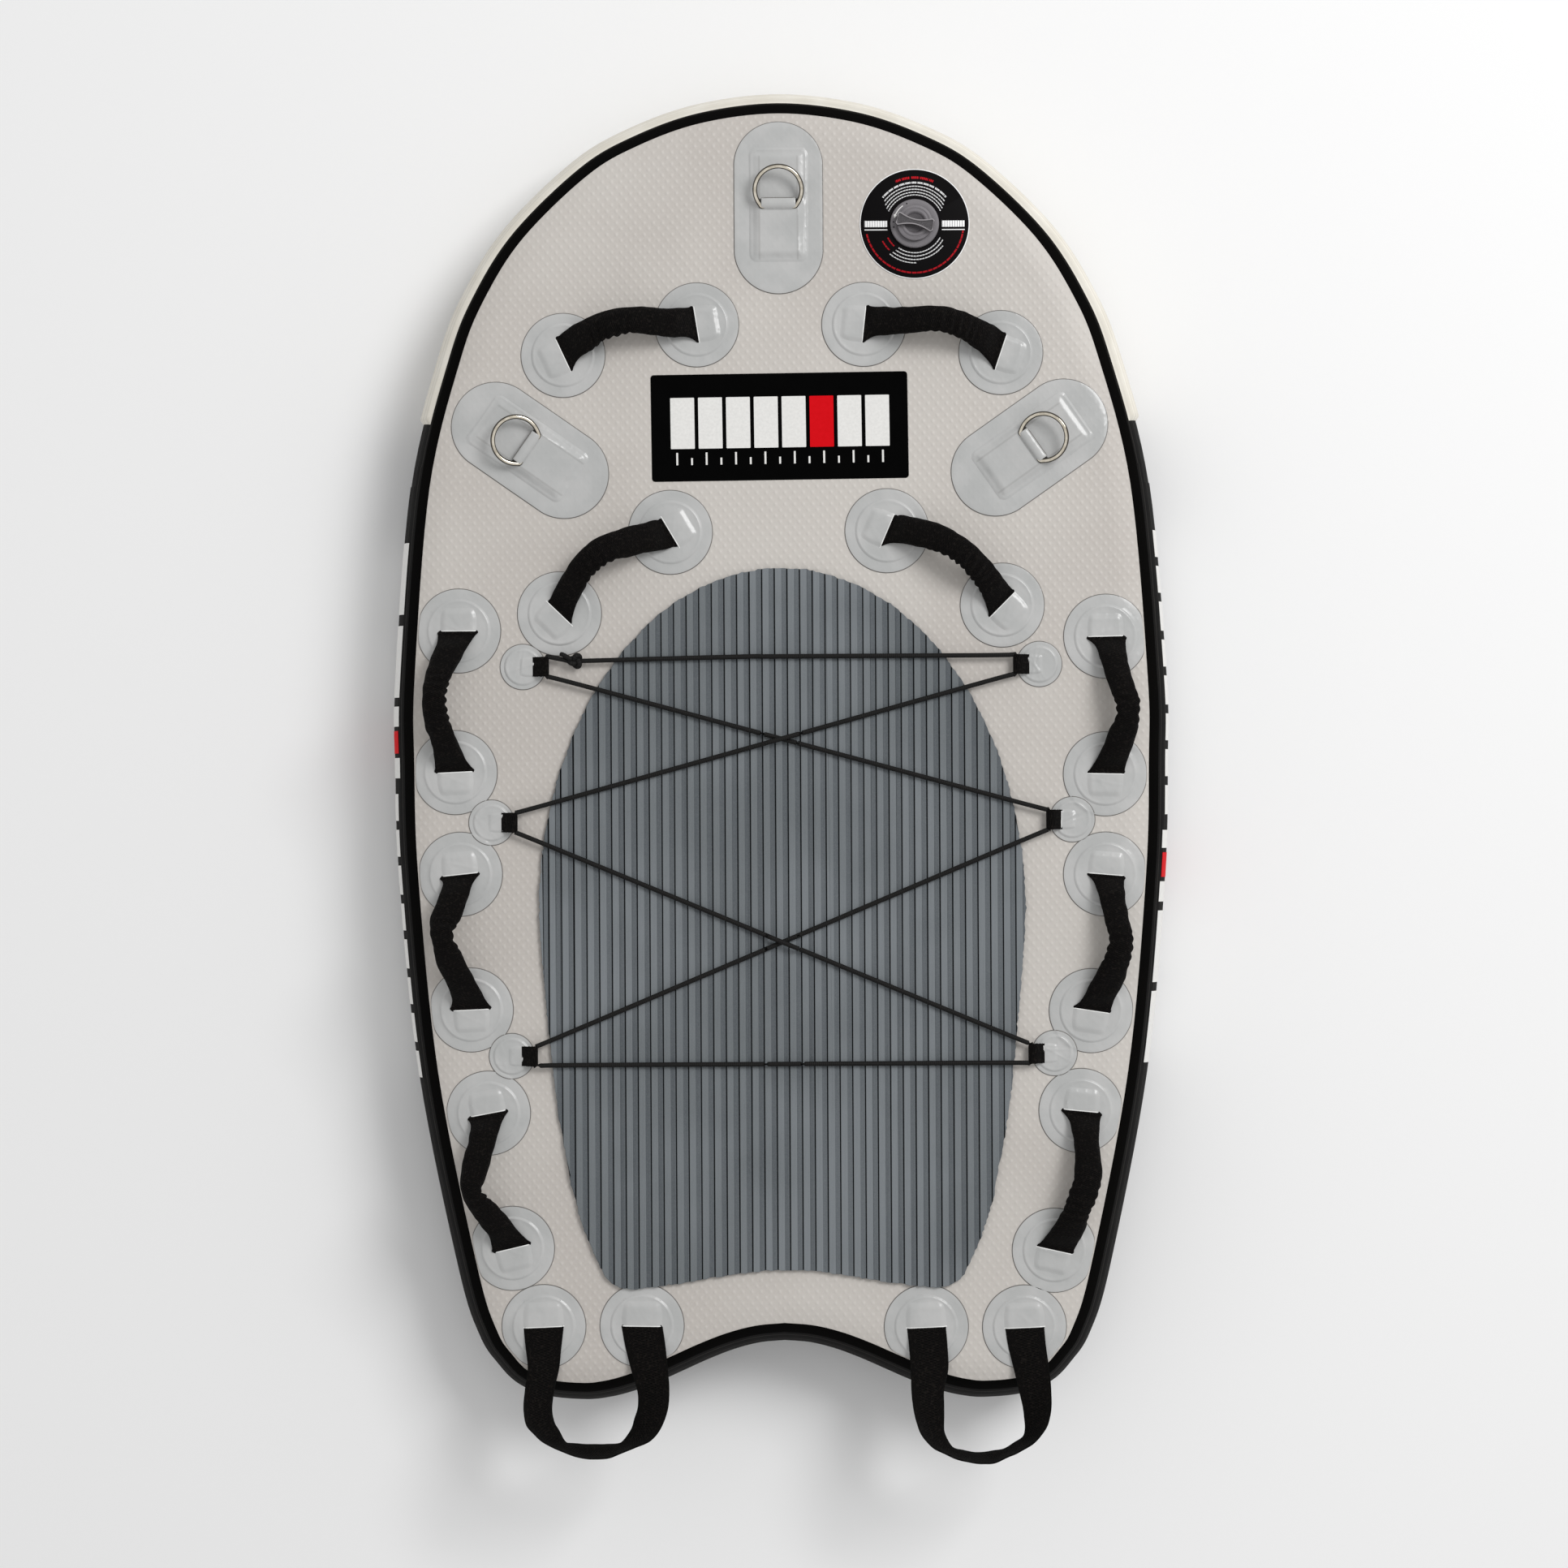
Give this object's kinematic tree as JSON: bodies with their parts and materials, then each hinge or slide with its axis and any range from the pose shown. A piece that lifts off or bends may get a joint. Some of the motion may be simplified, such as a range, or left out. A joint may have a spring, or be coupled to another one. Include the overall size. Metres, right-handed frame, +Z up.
{
  "type": "watercraft rescue sled",
  "caption": "Inflatable drop-stitch rescue sled towed behind a watercraft, with arched grips, D-rings, laced bungee, grooved deck pad and tail loops.",
  "frame": {"origin": "on the bottom skin, on the centreline, at the station where the hull is widest", "axes": "+Y to the nose, +X to the right seen from above, +Z up out of the deck"},
  "size_m": [1.015, 1.7897, 0.2154],
  "materials": {
    "deck_pvc": "PVC-coated drop-stitch fabric, fine diamond dimples, satin",
    "rail_pvc": "black PVC wall and tape, satin",
    "bumper_pvc": "beige ribbed PVC rub strip, matte",
    "pad_foam": "closed-cell foam with cut grooves, matte",
    "patch_pvc": "smooth grey PVC, welded, slightly glossy",
    "webbing": "black woven polyester webbing and padded sleeve",
    "shock_cord": "black braided cover over elastic",
    "stainless": "polished stainless wire",
    "label_print": "black printed PVC disc with plain white and red ring marks",
    "valve_plastic": "moulded grey nylon, fine grain",
    "seal_rubber": "soft black rubber",
    "spring_steel": "drawn spring wire"
  },
  "bodies": {
    "hull": {"bow_bumper": "bumper_pvc", "bungee_anchor_aft_left": "patch_pvc", "bungee_anchor_aft_right": "patch_pvc", "bungee_anchor_centre_left": "patch_pvc", "bungee_anchor_centre_right": "patch_pvc", "bungee_anchor_fore_left": "patch_pvc", "bungee_anchor_fore_right": "patch_pvc", "bungee_cord": "shock_cord", "deck_pad": "pad_foam", "deck_seam_tape": "rail_pvc", "drop_stitch_panel": "deck_pvc", "patch_aft_left_a": "patch_pvc", "patch_aft_left_b": "patch_pvc", "patch_aft_right_a": "patch_pvc", "patch_aft_right_b": "patch_pvc", "patch_centre_left_a": "patch_pvc", "patch_centre_left_b": "patch_pvc", "patch_centre_right_a": "patch_pvc", "patch_centre_right_b": "patch_pvc", "patch_fore_left_a": "patch_pvc", "patch_fore_left_b": "patch_pvc", "patch_fore_right_a": "patch_pvc", "patch_fore_right_b": "patch_pvc", "patch_front_left_a": "patch_pvc", "patch_front_left_b": "patch_pvc", "patch_front_right_a": "patch_pvc", "patch_front_right_b": "patch_pvc", "patch_middle_left_a": "patch_pvc", "patch_middle_left_b": "patch_pvc", "patch_middle_right_a": "patch_pvc", "patch_middle_right_b": "patch_pvc", "patch_tail_left_inner": "patch_pvc", "patch_tail_left_outer": "patch_pvc", "patch_tail_right_inner": "patch_pvc", "patch_tail_right_outer": "patch_pvc", "ring_patch_nose": "patch_pvc", "ring_patch_shoulder_left": "patch_pvc", "ring_patch_shoulder_right": "patch_pvc", "side_wall": "rail_pvc", "valve_body": "valve_plastic", "valve_label": "label_print", "valve_spring": "spring_steel"},
    "grip_front_right": {"grip_front_right": "webbing"},
    "grip_front_left": {"grip_front_left": "webbing"},
    "grip_middle_right": {"grip_middle_right": "webbing"},
    "grip_middle_left": {"grip_middle_left": "webbing"},
    "grip_fore_right": {"grip_fore_right": "webbing"},
    "grip_fore_left": {"grip_fore_left": "webbing"},
    "grip_centre_right": {"grip_centre_right": "webbing"},
    "grip_centre_left": {"grip_centre_left": "webbing"},
    "grip_aft_right": {"grip_aft_right": "webbing"},
    "grip_aft_left": {"grip_aft_left": "webbing"},
    "d_ring_nose": {"d_ring_nose": "stainless"},
    "d_ring_shoulder_right": {"d_ring_shoulder_right": "stainless"},
    "d_ring_shoulder_left": {"d_ring_shoulder_left": "stainless"},
    "tail_loop_right": {"tail_loop_right": "webbing"},
    "tail_loop_left": {"tail_loop_left": "webbing"},
    "valve_cap_seal": {"valve_cap_seal": "seal_rubber"},
    "valve_cap": {"valve_cap": "valve_plastic"},
    "valve_poppet": {"valve_poppet": "valve_plastic"}
  },
  "joints": [
    {"name": "lean_front_right", "type": "hinge", "parent": "hull", "child": "grip_front_right", "pos_m": [0.19485, 0.52498, 0.167], "axis": [-0.9766, 0.2151, 0], "range_deg": [-100, 44]},
    {"name": "lean_front_left", "type": "hinge", "parent": "hull", "child": "grip_front_left", "pos_m": [-0.19485, 0.52498, 0.167], "axis": [-0.9766, -0.2151, 0], "range_deg": [-100, 44]},
    {"name": "lean_middle_right", "type": "hinge", "parent": "hull", "child": "grip_middle_right", "pos_m": [0.214, 0.22749, 0.167], "axis": [-0.8312, 0.556, 0], "range_deg": [-134, 10]},
    {"name": "lean_middle_left", "type": "hinge", "parent": "hull", "child": "grip_middle_left", "pos_m": [-0.214, 0.22749, 0.167], "axis": [-0.8312, -0.556, 0], "range_deg": [-134, 10]},
    {"name": "lean_fore_right", "type": "hinge", "parent": "hull", "child": "grip_fore_right", "pos_m": [0.41659, 0.05349, 0.167], "axis": [-0.0325, 0.9995, 0], "range_deg": [-107, 37]},
    {"name": "lean_fore_left", "type": "hinge", "parent": "hull", "child": "grip_fore_left", "pos_m": [-0.41659, 0.05349, 0.167], "axis": [-0.0325, -0.9995, 0], "range_deg": [-107, 37]},
    {"name": "lean_centre_right", "type": "hinge", "parent": "hull", "child": "grip_centre_right", "pos_m": [0.40403, -0.2565, 0.167], "axis": [0.0891, 0.996, 0], "range_deg": [-107, 37]},
    {"name": "lean_centre_left", "type": "hinge", "parent": "hull", "child": "grip_centre_left", "pos_m": [-0.40403, -0.2565, 0.167], "axis": [0.0891, -0.996, 0], "range_deg": [-107, 37]},
    {"name": "lean_aft_right", "type": "hinge", "parent": "hull", "child": "grip_aft_right", "pos_m": [0.36174, -0.56285, 0.167], "axis": [0.1835, 0.983, 0], "range_deg": [-107, 37]},
    {"name": "lean_aft_left", "type": "hinge", "parent": "hull", "child": "grip_aft_left", "pos_m": [-0.36174, -0.56285, 0.167], "axis": [0.1835, -0.983, 0], "range_deg": [-107, 37]},
    {"name": "swing_d_ring_nose", "type": "hinge", "parent": "hull", "child": "d_ring_nose", "pos_m": [0, 0.695, 0.1594], "axis": [1, 0, 0], "range_deg": [-17, 151]},
    {"name": "swing_d_ring_shoulder_right", "type": "hinge", "parent": "hull", "child": "d_ring_shoulder_right", "pos_m": [0.323, 0.38298, 0.1594], "axis": [0.5736, -0.8192, 0], "range_deg": [-17, 151]},
    {"name": "swing_d_ring_shoulder_left", "type": "hinge", "parent": "hull", "child": "d_ring_shoulder_left", "pos_m": [-0.323, 0.38298, 0.1594], "axis": [0.5736, 0.8192, 0], "range_deg": [-17, 151]},
    {"name": "swing_tail_loop_right", "type": "hinge", "parent": "hull", "child": "tail_loop_right", "pos_m": [0.24798, -0.761, 0.1558], "axis": [-1, 0, 0], "range_deg": [0, 150]},
    {"name": "swing_tail_loop_left", "type": "hinge", "parent": "hull", "child": "tail_loop_left", "pos_m": [-0.24798, -0.761, 0.1558], "axis": [-1, 0, 0], "range_deg": [0, 150]},
    {"name": "valve_cap_lift", "type": "slide", "parent": "hull", "child": "valve_cap_seal", "axis": [0, 0, 1], "range_m": [0, 0.03]},
    {"name": "valve_cap_turn", "type": "hinge", "parent": "valve_cap_seal", "child": "valve_cap", "pos_m": [0.17601, 0.673, 0.15], "axis": [0, 0, 1], "range_deg": [0, 90]},
    {"name": "valve_poppet_push", "type": "slide", "parent": "hull", "child": "valve_poppet", "axis": [0, 0, -1], "range_m": [0, 0.006], "stiffness_N_per_m": 700, "deforming": ["valve_spring"]}
  ]
}
